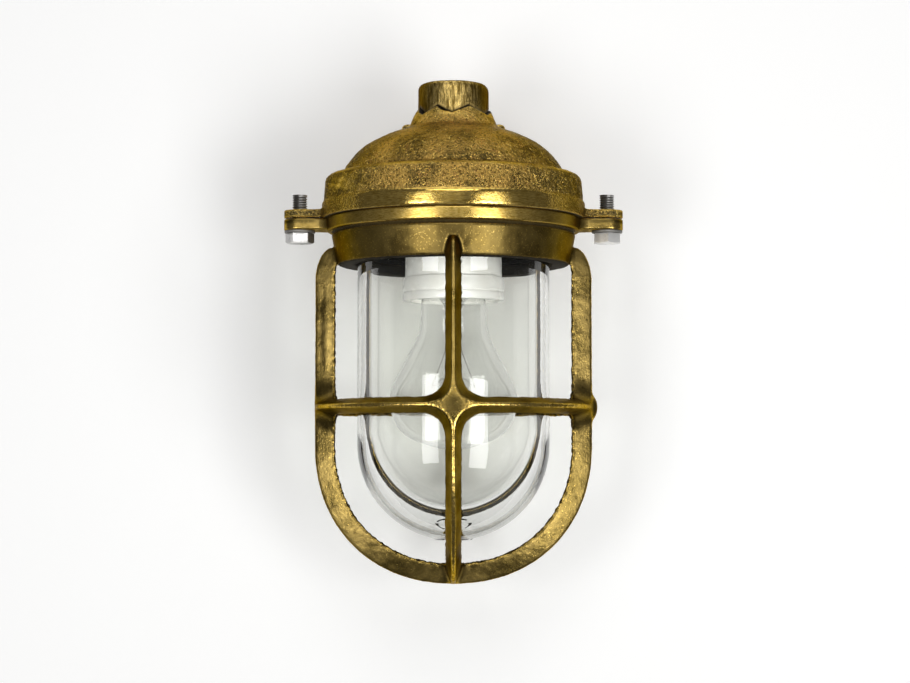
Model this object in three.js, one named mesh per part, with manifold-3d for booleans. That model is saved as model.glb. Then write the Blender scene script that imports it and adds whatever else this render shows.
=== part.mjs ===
// A caged ship's lantern that hangs from a conduit: cast brass dome with a neck, a bolted-on
// guard of four ribs and a belt, a thick glass jar clamped between the two castings, and a
// screw-in bulb in a white lampholder inside the dome.
//
// Millimetres, +Z up. Heights are counted from the lowest point of the guard, and the whole
// assembly is then let down so that the origin is the centre of the neck's top rim.

import * as THREE from "three";
import { mergeVertices } from "three/addons/utils/BufferGeometryUtils.js";
import Module from "manifold-3d";

const wasm = await Module();
wasm.setup();

// ---------------------------------------------------------------- driving dimensions

const HEIGHT = 260;          // neck rim above the guard's lowest point
const GAP = 0.3;             // between pieces that touch

// neck and its toothed joint with the dome's boss
const NECK_R = 18.5;
const NECK_BORE_R = 13;
const SPIGOT_R = 15.2;
const SPIGOT_END = 227.6;
const TEETH = 7;
const TOOTH_MID = 245;
const TOOTH_RISE = 2.1;
const TOOTH_TURN = THREE.MathUtils.degToRad(-92); // one tooth's tip, from +X

// dome
const SEAM = 189.5;          // joint plane between dome and guard
const DOME_BASE = SEAM + 0.2;
const FLANGE_R = 68.5;
const FLANGE_TOP = 197.3;
const LIP_R = 58.2;
const LIP_BORE_R = 53;
const LIP_BASE = 186.3;
const CEILING = 232.3;
const UPPER_EAR_TOP = 193.9;

// guard
const CAGE_R = 72;
const RIB_DEPTH = 10.3;
const RIB_HALF_INNER = 4;
const RIB_HALF_OUTER = 0.9;
const BEND_POWER = 2.16;
const SHOULDER_BASE = 157.5;
const SHOULDER_TOP = 175;
const COLLAR_BASE = 165.1;
const COLLAR_BORE_R = 58.7;
const GUARD_TOP = SEAM - 0.2;
const GUARD_FLANGE_R = 66;
const LOWER_EAR_BASE = 183.6;
const SEAT = 172;
const SEAT_BORE_R = 51.2;
const BELT_Z = 91.2;
const CROSSING_FILLET = 10;

// ears and their M8 bolts
const BOLT_X = 80.2;
const EAR_HALF = 8.2;
const EAR_FILLET = 6;
const BOLT_R = 4;
const BOLT_HOLE_R = 4.3;
const BOLT_FLATS = 13;
const BOLT_HEAD_BASE = 176.7;
const BOLT_HEAD_HEIGHT = 5.2;
const BOLT_TIP = 202;
const WASHER_R = 8;
const WASHER_BASE = 182.15;
const WASHER_THICKNESS = 1.2;

// glass jar and its gaskets
const JAR_R = 50;
const JAR_INNER_R = 43.7;
const JAR_FLANGE_R = 58.2;
const JAR_FLANGE_BASE = 175.1;
const JAR_FLANGE_TOP = 182.6;
const JAR_BOTTOM = 22.3;
const JAR_INNER_BOTTOM = 36;
const GASKET_INNER_R = 52;

// lampholder, its plate and its nipple
const PLATE_BASE = 225.4;
const PLATE_TOP = 227;
const PLATE_R = 32;
const PLATE_SCREW = { x: 24, y: 11 };
const PAD_TOP = 237.6;
const SCREW_R = 2;
const SCREW_HOLE_R = 2.35;
const NIPPLE_R = 4.9;
const NIPPLE_HOLE_R = 5.2;
const HOLDER_R = 25.3;
const HOLDER_SPLIT = 186;
const RING_R = 26.5;
const RING_BASE = 146.3;
const RING_TOP = 159;
const THREAD_R = 22.2;

// bulb
const CAP_R = 13.2;
const CAP_BASE = 151.5;
const CAP_TOP = 171.5;
const BULB_R = 33;
const BULB_WALL = 0.9;

const ROUND = 40;            // sides of a large turned piece
const MIDDLE = 28;           // sides of a middling one
const SMALL = 16;            // sides of a small one

// ---------------------------------------------------------------- materials

const metal = (color, roughness, metalness = 1) =>
  new THREE.MeshStandardMaterial({ color, roughness, metalness });
const matt = (color, roughness) => metal(color, roughness, 0);
const clear = (color, opacity) =>
  new THREE.MeshStandardMaterial({ color, roughness: 0.05, transparent: true, opacity });

const CAST_BRASS = () => metal(0x7d6a3c, 0.55);
const WORN_BRASS = () => metal(0xb39656, 0.35);
const STEEL = () => metal(0x9a9a96, 0.4);
const WHITE = () => matt(0xf2f1ec, 0.3);
const RUBBER = () => matt(0x23211f, 0.8);

// ---------------------------------------------------------------- solids

// A geometry becomes a solid once its shared corners are merged, its empty triangles are
// dropped and its faces point out.
function solid(geometry) {
  const bare = geometry.clone();
  bare.deleteAttribute("normal");
  bare.deleteAttribute("uv");
  const merged = mergeVertices(bare, 1e-4);
  const at = merged.attributes.position;
  const a = new THREE.Vector3();
  const b = new THREE.Vector3();
  const c = new THREE.Vector3();
  const triangles = [];
  let volume = 0;
  for (let i = 0; i < merged.index.count; i += 3) {
    const corners = [0, 1, 2].map((k) => merged.index.getX(i + k));
    if (new Set(corners).size < 3) continue;
    a.fromBufferAttribute(at, corners[0]);
    b.fromBufferAttribute(at, corners[1]);
    c.fromBufferAttribute(at, corners[2]);
    volume += a.dot(b.cross(c));
    triangles.push(corners);
  }
  const outward = triangles.map(([p, q, r]) => (volume < 0 ? [p, r, q] : [p, q, r]));
  return new wasm.Manifold(new wasm.Mesh({
    numProp: 3,
    vertProperties: new Float32Array(at.array),
    triVerts: new Uint32Array(outward.flat()),
  }));
}

function geometryOf(body) {
  const mesh = body.getMesh();
  const geometry = new THREE.BufferGeometry();
  geometry.setAttribute("position", new THREE.BufferAttribute(mesh.vertProperties, 3));
  geometry.setIndex(new THREE.BufferAttribute(mesh.triVerts, 1));
  geometry.computeVertexNormals();
  return geometry;
}

// A turned solid: the profile's points are [radius, height]. One that is off the axis at
// both ends is closed on itself.
function turned(profile, sides = ROUND) {
  const points = profile.map(([r, z]) => new THREE.Vector2(r, z));
  const [first, last] = [points[0], points[points.length - 1]];
  if (first.x > 0 || last.x > 0) points.push(first.clone());
  return solid(new THREE.LatheGeometry(points, sides).rotateX(Math.PI / 2));
}

const rod = (radius, z0, z1, sides = SMALL) =>
  turned([[0, z0], [radius, z0], [radius, z1], [0, z1]], sides);

const tube = (inner, outer, z0, z1, sides = ROUND) =>
  turned([[inner, z0], [outer, z0], [outer, z1], [inner, z1]], sides);

const hexagon = (flats, z0, z1) => rod(flats / 2 / Math.cos(Math.PI / 6), z0, z1, 6);

function plate(shape, z0, z1, curveSegments = 10) {
  const settings = { depth: z1 - z0, bevelEnabled: false, curveSegments };
  return solid(new THREE.ExtrudeGeometry(shape, settings).translate(0, 0, z0));
}

// A ring whose [radius, height] section may change with the angle.
function ring(sectionAt, sides) {
  const rows = [];
  for (let i = 0; i < sides; i += 1) {
    const angle = (i / sides) * 2 * Math.PI;
    rows.push(sectionAt(angle).map(([r, z]) => [r * Math.cos(angle), r * Math.sin(angle), z]));
  }
  return skin(rows, true);
}

// A solid through a row of cross-sections with the same number of points. An open row is
// capped at its ends, where the section is convex.
function skin(rows, closed) {
  const width = rows[0].length;
  const index = [];
  const steps = closed ? rows.length : rows.length - 1;
  for (let i = 0; i < steps; i += 1) {
    const j = (i + 1) % rows.length;
    for (let k = 0; k < width; k += 1) {
      const m = (k + 1) % width;
      index.push(i * width + k, j * width + k, j * width + m);
      index.push(i * width + k, j * width + m, i * width + m);
    }
  }
  if (!closed) {
    const end = (rows.length - 1) * width;
    for (let k = 1; k < width - 1; k += 1) {
      index.push(0, k, k + 1);
      index.push(end, end + k + 1, end + k);
    }
  }
  const geometry = new THREE.BufferGeometry();
  const positions = new Float32Array(rows.flat(2));
  geometry.setAttribute("position", new THREE.BufferAttribute(positions, 3));
  geometry.setIndex(index);
  return solid(geometry);
}

function wire(points, radius, sides = 5, steps = 10) {
  const path = new THREE.CatmullRomCurve3(points.map((p) => new THREE.Vector3(...p)));
  const round = new THREE.Shape();
  for (let i = 0; i < sides; i += 1) {
    const angle = (i / sides) * 2 * Math.PI;
    const corner = [radius * Math.cos(angle), radius * Math.sin(angle)];
    if (i === 0) round.moveTo(...corner);
    else round.lineTo(...corner);
  }
  return solid(new THREE.ExtrudeGeometry(round, { steps, extrudePath: path }));
}

const arc = (r0, z0, radius, from, to, steps) =>
  Array.from({ length: steps + 1 }, (_, i) => {
    const angle = THREE.MathUtils.degToRad(from + ((to - from) * i) / steps);
    return [r0 + radius * Math.cos(angle), z0 + radius * Math.sin(angle)];
  });

// ---------------------------------------------------------------- neck and dome

// Height of the saw-toothed joint line round the neck: straight flanks between tips.
function toothLine(angle) {
  const turn = (((angle - TOOTH_TURN) * TEETH) / (2 * Math.PI)) % 1;
  const phase = (turn + 1) % 1;
  return TOOTH_MID - TOOTH_RISE * (1 - 4 * Math.min(phase, 1 - phase));
}

const TOOTHED_SIDES = TEETH * 6;

// The ring starts at a tooth's tip, so that every tip and root falls on one of its sides.
const toothedRing = (sectionAt) =>
  ring((angle) => sectionAt(toothLine(angle + TOOTH_TURN)), TOOTHED_SIDES)
    .rotate([0, 0, THREE.MathUtils.radToDeg(TOOTH_TURN)]);

const neckSleeve = () => toothedRing((z) => [
  [NECK_BORE_R, SPIGOT_END], [SPIGOT_R, SPIGOT_END], [SPIGOT_R, z], [NECK_R, z],
  [NECK_R, HEIGHT - 3], [NECK_R - 0.9, HEIGHT - 0.7], [NECK_R - 2.3, HEIGHT],
  [NECK_BORE_R + 0.8, HEIGHT], [NECK_BORE_R, HEIGHT - 0.8],
]);

const neckLocknut = () => tube(SPIGOT_R + GAP, 19, SPIGOT_END + 0.4, CEILING - GAP, SMALL);

const entrySeal = () => turned([
  [5.5, 233], [NECK_BORE_R - GAP, 233], [NECK_BORE_R - GAP, 241], [9, 241], [5.5, 238],
], SMALL);

function domeShell() {
  const bore = SPIGOT_R + 0.4;
  return toothedRing((z) => [
    [LIP_BORE_R, LIP_BASE], [LIP_R, LIP_BASE], [LIP_R, DOME_BASE],
    [FLANGE_R - 0.6, DOME_BASE], [FLANGE_R, DOME_BASE + 0.8], [FLANGE_R, FLANGE_TOP - 0.6],
    [67.9, 198], [67.3, 205], [66.3, 209.9], [63, 211.9], [57.4, 213.2],
    [54.6, 218.5], [50.4, 223.3], [47.5, 225.7], [40.8, 230.4], [36.8, 232.2], [28.5, 235.2],
    [24.6, 236.7], [22.6, 238], [21.9, 239.8], [21, 242.2], [NECK_R, z - 0.4],
    [bore, z - 0.4], [bore, CEILING],
    [26, CEILING], [36.5, 228.2], [43.5, 223.4], [48, 219.5], [52, 212.2], [60.5, 207],
    [60.5, 197], [LIP_BORE_R, 192],
  ]);
}

// An ear's outline: a rounded lug blended into a disc by a hollow fillet on each side.
function earOutline(disc) {
  const reach = disc + EAR_FILLET;
  const rise = EAR_HALF + EAR_FILLET;
  const centre = Math.sqrt(reach * reach - rise * rise);
  const lean = Math.atan2(rise, centre);
  const shape = new THREE.Shape();
  shape.moveTo(disc - 10, -EAR_HALF);
  shape.lineTo(disc * Math.cos(lean) - 2, -disc * Math.sin(lean));
  shape.absarc(centre, -rise, EAR_FILLET, Math.PI - lean, Math.PI / 2, true);
  shape.absarc(BOLT_X, 0, EAR_HALF, -Math.PI / 2, Math.PI / 2, false);
  shape.absarc(centre, rise, EAR_FILLET, -Math.PI / 2, Math.PI + lean, true);
  shape.lineTo(disc * Math.cos(lean) - 2, disc * Math.sin(lean));
  shape.lineTo(disc - 10, EAR_HALF);
  shape.closePath();
  return shape;
}

function bothEars(disc, z0, z1) {
  const ear = plate(earOutline(disc), z0, z1, 6);
  return ear.add(ear.rotate([0, 0, 180]));
}

const sides = [-1, 1];
const atBolts = (body) => body.translate([-BOLT_X, 0, 0]).add(body.translate([BOLT_X, 0, 0]));
const atScrews = (body) => sides
  .map((side) => body.translate([side * PLATE_SCREW.x, PLATE_SCREW.y, 0]))
  .reduce((joined, one) => joined.add(one));

function domeCover() {
  const posts = atScrews(rod(4.3, PLATE_TOP + GAP, CEILING + 1));
  const pads = atScrews(rod(4.6, CEILING + 0.5, PAD_TOP));
  return domeShell()
    .add(bothEars(FLANGE_R, DOME_BASE, UPPER_EAR_TOP))
    .add(posts)
    .add(pads)
    .subtract(atBolts(rod(BOLT_HOLE_R, DOME_BASE - 1, UPPER_EAR_TOP + 1)))
    .subtract(atScrews(rod(SCREW_HOLE_R, PLATE_TOP - 1, HEIGHT)));
}

// ---------------------------------------------------------------- lampholder

function holderPlate() {
  return rod(PLATE_R, PLATE_BASE, PLATE_TOP, ROUND)
    .subtract(rod(NIPPLE_HOLE_R, PLATE_BASE - 1, PLATE_TOP + 1))
    .subtract(atScrews(rod(SCREW_HOLE_R, PLATE_BASE - 1, PLATE_TOP + 1)));
}

const plateScrew = () => turned([
  [0, 221.5], [SCREW_R, 221.5], [SCREW_R, PAD_TOP + GAP], [3.3, PAD_TOP + GAP],
  [3.3, PAD_TOP + 1.8], [2.5, PAD_TOP + 3], [0, PAD_TOP + 3.6],
], 12).subtract(plate(slot(1, 8), PAD_TOP + 2.4, PAD_TOP + 4));

function slot(width, length) {
  const shape = new THREE.Shape();
  shape.moveTo(-length / 2, -width / 2);
  shape.lineTo(length / 2, -width / 2);
  shape.lineTo(length / 2, width / 2);
  shape.lineTo(-length / 2, width / 2);
  shape.closePath();
  return shape;
}

const nut = (flats, hole, z0, z1) =>
  hexagon(flats, z0, z1).subtract(rod(hole, z0 - 1, z1 + 1));

const nippleTube = () => tube(3.3, NIPPLE_R, 200.9, 230.9, SMALL);

const lampholderCap = () => turned([
  [NIPPLE_HOLE_R, 207], [10, 207], [12, 204], [20, 200], [HOLDER_R, 193],
  [HOLDER_R, HOLDER_SPLIT + GAP], [22.3, HOLDER_SPLIT + GAP], [22.3, 192], [18, 197],
  [11, 200], [NIPPLE_HOLE_R, 200.5],
], MIDDLE);

const lampholderSleeve = () => turned([
  [18.8, 148], [THREAD_R, 148], [THREAD_R, RING_TOP + GAP], [HOLDER_R, RING_TOP + GAP],
  [HOLDER_R, HOLDER_SPLIT], [20.9, HOLDER_SPLIT], [20.9, 176], [14.7, 176], [14.7, 155],
], MIDDLE);

const skirtRing = () => turned([
  [THREAD_R + GAP, RING_BASE], [RING_R - 0.4, RING_BASE], [RING_R, RING_BASE + 0.6],
  [RING_R, RING_TOP - 0.8], [RING_R - 0.8, RING_TOP], [THREAD_R + GAP, RING_TOP],
], MIDDLE);

const terminalAt = (side) => [side * 13, 0];

function terminalBlock() {
  const holes = sides.map((side) => {
    const [x, y] = terminalAt(side);
    return rod(2.4, 176, 187, 12).translate([x, y, 0]);
  });
  return holes.reduce((body, hole) => body.subtract(hole), rod(20.5, 176.4, 185.4, MIDDLE));
}

const terminalScrew = () => turned([
  [0, 178], [2, 178], [2, 185.8], [3.6, 185.8], [3.6, 188], [0, 188],
], 12).subtract(plate(slot(0.8, 8), 187.3, 189));

const screwShell = () => tube(13.7, 14.4, 156, 175.9, MIDDLE);

const centreContact = () => rod(4.5, 175.2, 176, 16);

// ---------------------------------------------------------------- bulb

// The bulb's outside, from the neck down to the tip.
const BULB_PROFILE = [
  [12.2, 158], [12.2, 151.2], [14, 151], [17, 146.3], [17.9, 131.5],
  [22.4, 120.5], [29.6, 107], [BULB_R, 95.5],
  [31, 84.5], [24.5, 74.8], [14, 68.2], [0, 65.8],
];

// The inside keeps the wall's thickness from the outside, along each point's normal.
function inset(profile, by) {
  return profile.map(([r, z], i) => {
    const [r0, z0] = profile[Math.max(i - 1, 0)];
    const [r1, z1] = profile[Math.min(i + 1, profile.length - 1)];
    const length = Math.hypot(r1 - r0, z1 - z0);
    const last = i === profile.length - 1;
    return last ? [0, z + by] : [r + (by * (z1 - z0)) / length, z - (by * (r1 - r0)) / length];
  });
}

function bulbEnvelope() {
  const inside = inset(BULB_PROFILE, BULB_WALL).reverse();
  return turned([...BULB_PROFILE, ...inside], MIDDLE);
}

const bulbCap = () => turned([
  [12.6, CAP_BASE], [CAP_R, CAP_BASE], [CAP_R, CAP_TOP - 2], [11, CAP_TOP], [9.6, CAP_TOP],
  [9.6, CAP_TOP - 0.6], [12.6, CAP_TOP - 2.6],
], MIDDLE);

const bulbInsulator = () => turned([
  [0, 169.5], [8.6, 169.5], [9.3, 171.2], [5.4, 173.4], [0, 173.4],
], SMALL);

const bulbContact = () => turned([
  [0, 173.7], [4.6, 173.7], [4.2, 174.4], [0, 174.9],
], SMALL);

const bulbStem = () => turned([
  [0, 118], [2.4, 118.4], [2.4, 134], [4.5, 143], [9, 150], [10.6, 157], [9.6, 157],
  [8, 151], [0, 145],
], 16);

const LEAD_X = 11;
const leadWire = (side) => wire([
  [side * 2.9, 0, 131], [side * 3.2, 0, 124], [side * 7, 0, 113], [side * LEAD_X, 0, 103],
], 0.4);

function filament() {
  const sag = (x) => 102.4 - 3.5 * Math.cos((x / LEAD_X) * Math.PI) ** 2 + 3.5;
  const points = Array.from({ length: 13 }, (_, i) => {
    const x = -LEAD_X + (2 * LEAD_X * i) / 12;
    return [x, 1.2, sag(x)];
  });
  return wire(points, 0.45, 5, 20);
}

// ---------------------------------------------------------------- guard and glass

// The bottom of the cage is a little fuller than a half circle.
function bend(radius, angle) {
  const [c, s] = [Math.cos(angle), Math.sin(angle)];
  const norm = (Math.abs(c) ** BEND_POWER + Math.abs(s) ** BEND_POWER) ** (1 / BEND_POWER);
  return [(radius * c) / norm, CAGE_R - (radius * s) / norm];
}

// A rib is a wedge in section: broad inside, a narrow ridge outside. Each station gives
// the inner and the outer edge as [radius, height].
function rib() {
  const stations = [];
  const shoulderSteps = 5;
  for (let i = 0; i <= shoulderSteps; i += 1) {
    const t = 1 - i / shoulderSteps;
    const rise = Math.sin((t * Math.PI) / 2);
    const z = SHOULDER_BASE + (SHOULDER_TOP - SHOULDER_BASE) * rise;
    const outer = 62 + (CAGE_R - 62) * Math.sqrt(1 - rise * rise);
    const inner = CAGE_R - RIB_DEPTH - 1.5 * rise * rise;
    stations.push([[inner, z], [Math.max(outer, inner + 0.5), z]]);
  }
  const bendSteps = 10;
  for (let i = 0; i <= bendSteps; i += 1) {
    const angle = (i / bendSteps) * THREE.MathUtils.degToRad(92);
    stations.push([bend(CAGE_R - RIB_DEPTH, angle), bend(CAGE_R, angle)]);
  }
  const rows = stations.map(([inner, outer]) => [
    [inner[0], -RIB_HALF_INNER, inner[1]], [outer[0], -RIB_HALF_OUTER, outer[1]],
    [outer[0], RIB_HALF_OUTER, outer[1]], [inner[0], RIB_HALF_INNER, inner[1]],
  ]);
  return skin(rows, false);
}

// The web that blends a rib into the belt: four hollow arcs round a cross.
function crossing() {
  const [half, rise, hollow] = [3, 3.4, CROSSING_FILLET];
  const shape = new THREE.Shape();
  shape.moveTo(half + hollow, rise);
  shape.absarc(half + hollow, rise + hollow, hollow, -Math.PI / 2, -Math.PI, true);
  shape.absarc(-half - hollow, rise + hollow, hollow, 0, -Math.PI / 2, true);
  shape.absarc(-half - hollow, -rise - hollow, hollow, Math.PI / 2, 0, true);
  shape.absarc(half + hollow, -rise - hollow, hollow, Math.PI, Math.PI / 2, true);
  shape.closePath();
  return plate(shape, 62.8, 67.6, 4).rotate([90, 0, 90]).translate([0, 0, BELT_Z]);
}

const castingLump = () => turned(
  [[0, 6.5], ...arc(0, 0, 1, 60, -60, 4).map(([r, z]) => [4 * r, 6.5 * z / 0.87]), [0, -6.5]],
  12,
).translate([71.4, 0, BELT_Z]);

function guardCasting() {
  const collar = turned([
    [SEAT_BORE_R, COLLAR_BASE], [59.5, COLLAR_BASE], [61.3, 170], [62.4, 175], [63.4, 180.6],
    [62.4, 182], [65.4, 182.6], [GUARD_FLANGE_R, 185], [65.8, GUARD_TOP],
    [COLLAR_BORE_R, GUARD_TOP], [COLLAR_BORE_R, SEAT], [SEAT_BORE_R, SEAT],
  ]);
  const belt = turned([
    [63, BELT_Z - 4.5], [CAGE_R - 0.2, BELT_Z - RIB_HALF_OUTER],
    [CAGE_R - 0.2, BELT_Z + RIB_HALF_OUTER], [63, BELT_Z + 4.5],
  ]);
  const quarter = rib().add(crossing());
  const cage = [0, 90, 180, 270].map((turn) => quarter.rotate([0, 0, turn]));
  const bore = rod(COLLAR_BORE_R, SEAT, GUARD_TOP + 1, ROUND);
  return cage.reduce((joined, one) => joined.add(one), collar.add(belt))
    .add(bothEars(GUARD_FLANGE_R, LOWER_EAR_BASE, GUARD_TOP))
    .add(castingLump())
    .subtract(bore)
    .subtract(atBolts(rod(BOLT_HOLE_R, LOWER_EAR_BASE - 1, GUARD_TOP + 1)));
}

const glassJar = () => turned([
  [0, JAR_BOTTOM],
  ...arc(0, JAR_BOTTOM + JAR_R, JAR_R, -80, 0, 8),
  [JAR_R, JAR_FLANGE_BASE - 1], [JAR_R + 1, JAR_FLANGE_BASE],
  [JAR_FLANGE_R, JAR_FLANGE_BASE], [JAR_FLANGE_R, JAR_FLANGE_TOP],
  [JAR_INNER_R, JAR_FLANGE_TOP],
  ...arc(0, JAR_INNER_BOTTOM + JAR_INNER_R, JAR_INNER_R, 0, -78, 6),
  [0, JAR_INNER_BOTTOM],
]);

const gasket = (z0, z1) => tube(GASKET_INNER_R, JAR_FLANGE_R - 0.1, z0, z1, MIDDLE);

// ---------------------------------------------------------------- bolts

function clampBolt() {
  const head = hexagon(BOLT_FLATS, BOLT_HEAD_BASE, BOLT_HEAD_BASE + BOLT_HEAD_HEIGHT);
  const shank = turned([
    [0, BOLT_HEAD_BASE + 1], [BOLT_R, BOLT_HEAD_BASE + 1], [BOLT_R, BOLT_TIP - 0.8],
    [BOLT_R - 0.8, BOLT_TIP], [0, BOLT_TIP],
  ], SMALL);
  return head.add(shank);
}

const washer = () => tube(BOLT_HOLE_R, WASHER_R, WASHER_BASE, WASHER_BASE + WASHER_THICKNESS, SMALL);

// ---------------------------------------------------------------- assembly

const group = new THREE.Group();
const lantern = new THREE.Group();
lantern.position.z = -HEIGHT;
group.add(lantern);

function place(name, body, material, x = 0, y = 0) {
  const mesh = new THREE.Mesh(geometryOf(body), material);
  mesh.name = name;
  mesh.position.set(x, y, 0);
  lantern.add(mesh);
}

const LEFT_RIGHT = [["left", -1], ["right", 1]];

place("neck_sleeve", neckSleeve(), WORN_BRASS());
place("neck_locknut", neckLocknut(), WORN_BRASS());
place("entry_seal", entrySeal(), RUBBER());
place("dome_cover", domeCover(), CAST_BRASS());
place("holder_plate", holderPlate(), STEEL());
for (const [name, side] of LEFT_RIGHT) {
  const [x, y] = [side * PLATE_SCREW.x, PLATE_SCREW.y];
  place(`plate_screw_${name}`, plateScrew(), WORN_BRASS(), x, y);
  place(`plate_nut_${name}`, nut(7, SCREW_HOLE_R, 222.1, PLATE_BASE - GAP), STEEL(), x, y);
}
place("nipple_tube", nippleTube(), STEEL());
place("nipple_nut_upper", nut(14, NIPPLE_HOLE_R, PLATE_TOP + GAP, 230.3), STEEL());
place("nipple_nut_lower", nut(14, NIPPLE_HOLE_R, 222.1, PLATE_BASE - GAP), STEEL());
place("lampholder_cap", lampholderCap(), WHITE());
place("lampholder_sleeve", lampholderSleeve(), WHITE());
place("skirt_ring", skirtRing(), WHITE());
place("terminal_block", terminalBlock(), WHITE());
for (const [name, side] of LEFT_RIGHT) {
  place(`terminal_screw_${name}`, terminalScrew(), WORN_BRASS(), ...terminalAt(side));
}
place("screw_shell", screwShell(), WORN_BRASS());
place("centre_contact", centreContact(), WORN_BRASS());

place("bulb_insulator", bulbInsulator(), matt(0x1d1b1a, 0.3));
place("bulb_contact", bulbContact(), STEEL());
place("bulb_cap", bulbCap(), metal(0xc9c9c4, 0.35));
place("bulb_envelope", bulbEnvelope(), clear(0xf4f6f5, 0.3));
place("bulb_stem", bulbStem(), clear(0xe9efec, 0.5));
for (const [name, side] of LEFT_RIGHT) {
  place(`lead_wire_${name}`, leadWire(side), STEEL());
}
place("filament", filament(), metal(0x6f6a63, 0.5));

place("guard_casting", guardCasting(), CAST_BRASS());
place("glass_jar", glassJar(), clear(0xeaf1ee, 0.3));
place("lower_gasket", gasket(SEAT + GAP, JAR_FLANGE_BASE - GAP), RUBBER());
place("upper_gasket", gasket(JAR_FLANGE_TOP + GAP, LIP_BASE - GAP), RUBBER());
for (const [name, side] of LEFT_RIGHT) {
  place(`clamp_bolt_${name}`, clampBolt(), STEEL(), side * BOLT_X);
  place(`bolt_washer_${name}`, washer(), STEEL(), side * BOLT_X);
}

export default group;
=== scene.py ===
# Looks of a caged ship's lantern: cast brass dome and guard, thick glass jar, bulb in a white
# lampholder. Outlines are in millimetres, with heights above the guard's lowest point.

from math import atan2, cos, hypot, pi, radians, sin, tau

import bmesh
import bpy
import numpy as np
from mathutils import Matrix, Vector, noise


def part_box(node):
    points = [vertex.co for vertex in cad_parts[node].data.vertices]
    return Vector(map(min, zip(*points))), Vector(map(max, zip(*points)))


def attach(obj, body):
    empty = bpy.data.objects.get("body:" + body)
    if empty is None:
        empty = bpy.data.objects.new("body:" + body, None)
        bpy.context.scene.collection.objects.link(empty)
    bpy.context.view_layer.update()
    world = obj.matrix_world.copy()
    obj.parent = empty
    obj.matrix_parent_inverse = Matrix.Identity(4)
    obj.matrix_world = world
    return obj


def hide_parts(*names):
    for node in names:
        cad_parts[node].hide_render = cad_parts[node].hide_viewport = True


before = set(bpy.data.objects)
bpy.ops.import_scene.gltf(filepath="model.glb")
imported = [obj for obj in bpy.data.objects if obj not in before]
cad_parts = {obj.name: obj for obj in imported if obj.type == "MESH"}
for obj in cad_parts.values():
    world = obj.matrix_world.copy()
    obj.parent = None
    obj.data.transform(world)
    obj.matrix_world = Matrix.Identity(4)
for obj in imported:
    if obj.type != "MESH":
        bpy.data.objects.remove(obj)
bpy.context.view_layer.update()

MM = 0.001


# ---------------------------------------- sizes, from the frame

def size_of(node):
    low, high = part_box(node)
    return [(b - a) / MM for a, b in zip(low, high)]


HEIGHT = 260
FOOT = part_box("neck_sleeve")[1].z / MM - HEIGHT


def span_of(node):
    """A node's lowest and highest points, above the guard's foot."""
    return [end.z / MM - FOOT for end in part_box(node)]


def frame_centre(node):
    low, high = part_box(node)
    return [(a + b) / 2 / MM for a, b in zip(low, high)]


NECK_R = size_of("neck_sleeve")[0] / 2
FLANGE_R = size_of("dome_cover")[1] / 2
CAGE_R = size_of("guard_casting")[1] / 2
EAR_REACH = size_of("guard_casting")[0] / 2
BOLT_X = frame_centre("bolt_washer_right")[0]
EAR_HALF = EAR_REACH - BOLT_X
HEAD_FLATS = size_of("clamp_bolt_left")[0]
WASHER_R = size_of("bolt_washer_left")[0] / 2
DOME_LOW = span_of("dome_cover")[0]
SEAM = (DOME_LOW + 3.4 + span_of("guard_casting")[1]) / 2
EAR_TOP = 193.9  # of the dome's ears
EAR_FOOT = 183.4  # of the guard's ears
BOLT_HOLE_R = 4.3
BOLT_HEAD = 5.2  # thickness
BAND_LOW, BAND_HIGH = 198.4, 211.5  # of the dome's upright band
CEILING = 232.3  # of the space inside the dome
DOME_TOP = 250  # of the dome's boss, before the teeth cut it off
PAD_TOP = 237.6  # of the small pads under the two screws
SEAT_R, COLLAR_BORE_R = 58.7, 51.2  # round the jar's flange, and below it
NIPPLE_HOLE_R, SCREW_HOLE_R = 5.2, 2.35
BELT_Z = 91.2
RIB_DEPTH = 10.3
BEND_POWER = 2.16  # of the cage's bottom: 2 would be a half circle
SHOULDER_LOW, SHOULDER_RISE, SHOULDER_REACH = 157.5, 17.5, 10
TEETH, TOOTH_MID, TOOTH_RISE = 7, 245.0, 2.1
TOOTH_TURN = radians(-92)
BOLT_PITCH, LAMP_PITCH, CONDUIT_PITCH = 1.25, 3.629, 1.8


# ---------------------------------------- meshes

def outward(points, faces):
    """The faces, turned so that their normals point out of the solid."""
    corners = points[faces]
    a, b, c = corners[:, 0], corners[:, 1], corners[:, 2]
    volume = np.einsum("ij,ij->", a, np.cross(b, c))
    if faces.shape[1] == 4:
        volume += np.einsum("ij,ij->", a, np.cross(c, corners[:, 3]))
    return faces if volume > 0 else faces[:, ::-1]


def normals_of(points, faces):
    corners = points[faces]
    across = np.cross(corners[:, 2] - corners[:, 0], corners[:, -1] - corners[:, 1])
    total = np.zeros_like(points)
    for column in faces.T:
        np.add.at(total, column, across)
    return total / np.maximum(np.linalg.norm(total, axis=1, keepdims=True), 1e-9)


def roughened(shape, relief):
    """The shape, with its points moved along their normals by relief(point) millimetres."""
    points, faces = shape
    steps = np.array([relief(Vector(p)) for p in points])
    return points + normals_of(points, faces) * steps[:, None], faces


def grid(rows, wrap):
    """Points and quads of a sheet of rows. Its columns close on themselves, and so do its rows
    if wrap is true."""
    points = np.array(rows, float)
    count, width = points.shape[:2]
    index = np.arange(count * width).reshape(count, width)
    if wrap:
        index = np.vstack([index, index[:1]])
    index = np.hstack([index, index[:, :1]])
    faces = np.stack([index[:-1, :-1], index[1:, :-1], index[1:, 1:], index[:-1, 1:]], -1)
    points, faces = points.reshape(-1, 3), faces.reshape(-1, 4)
    return points, outward(points, faces)


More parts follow.
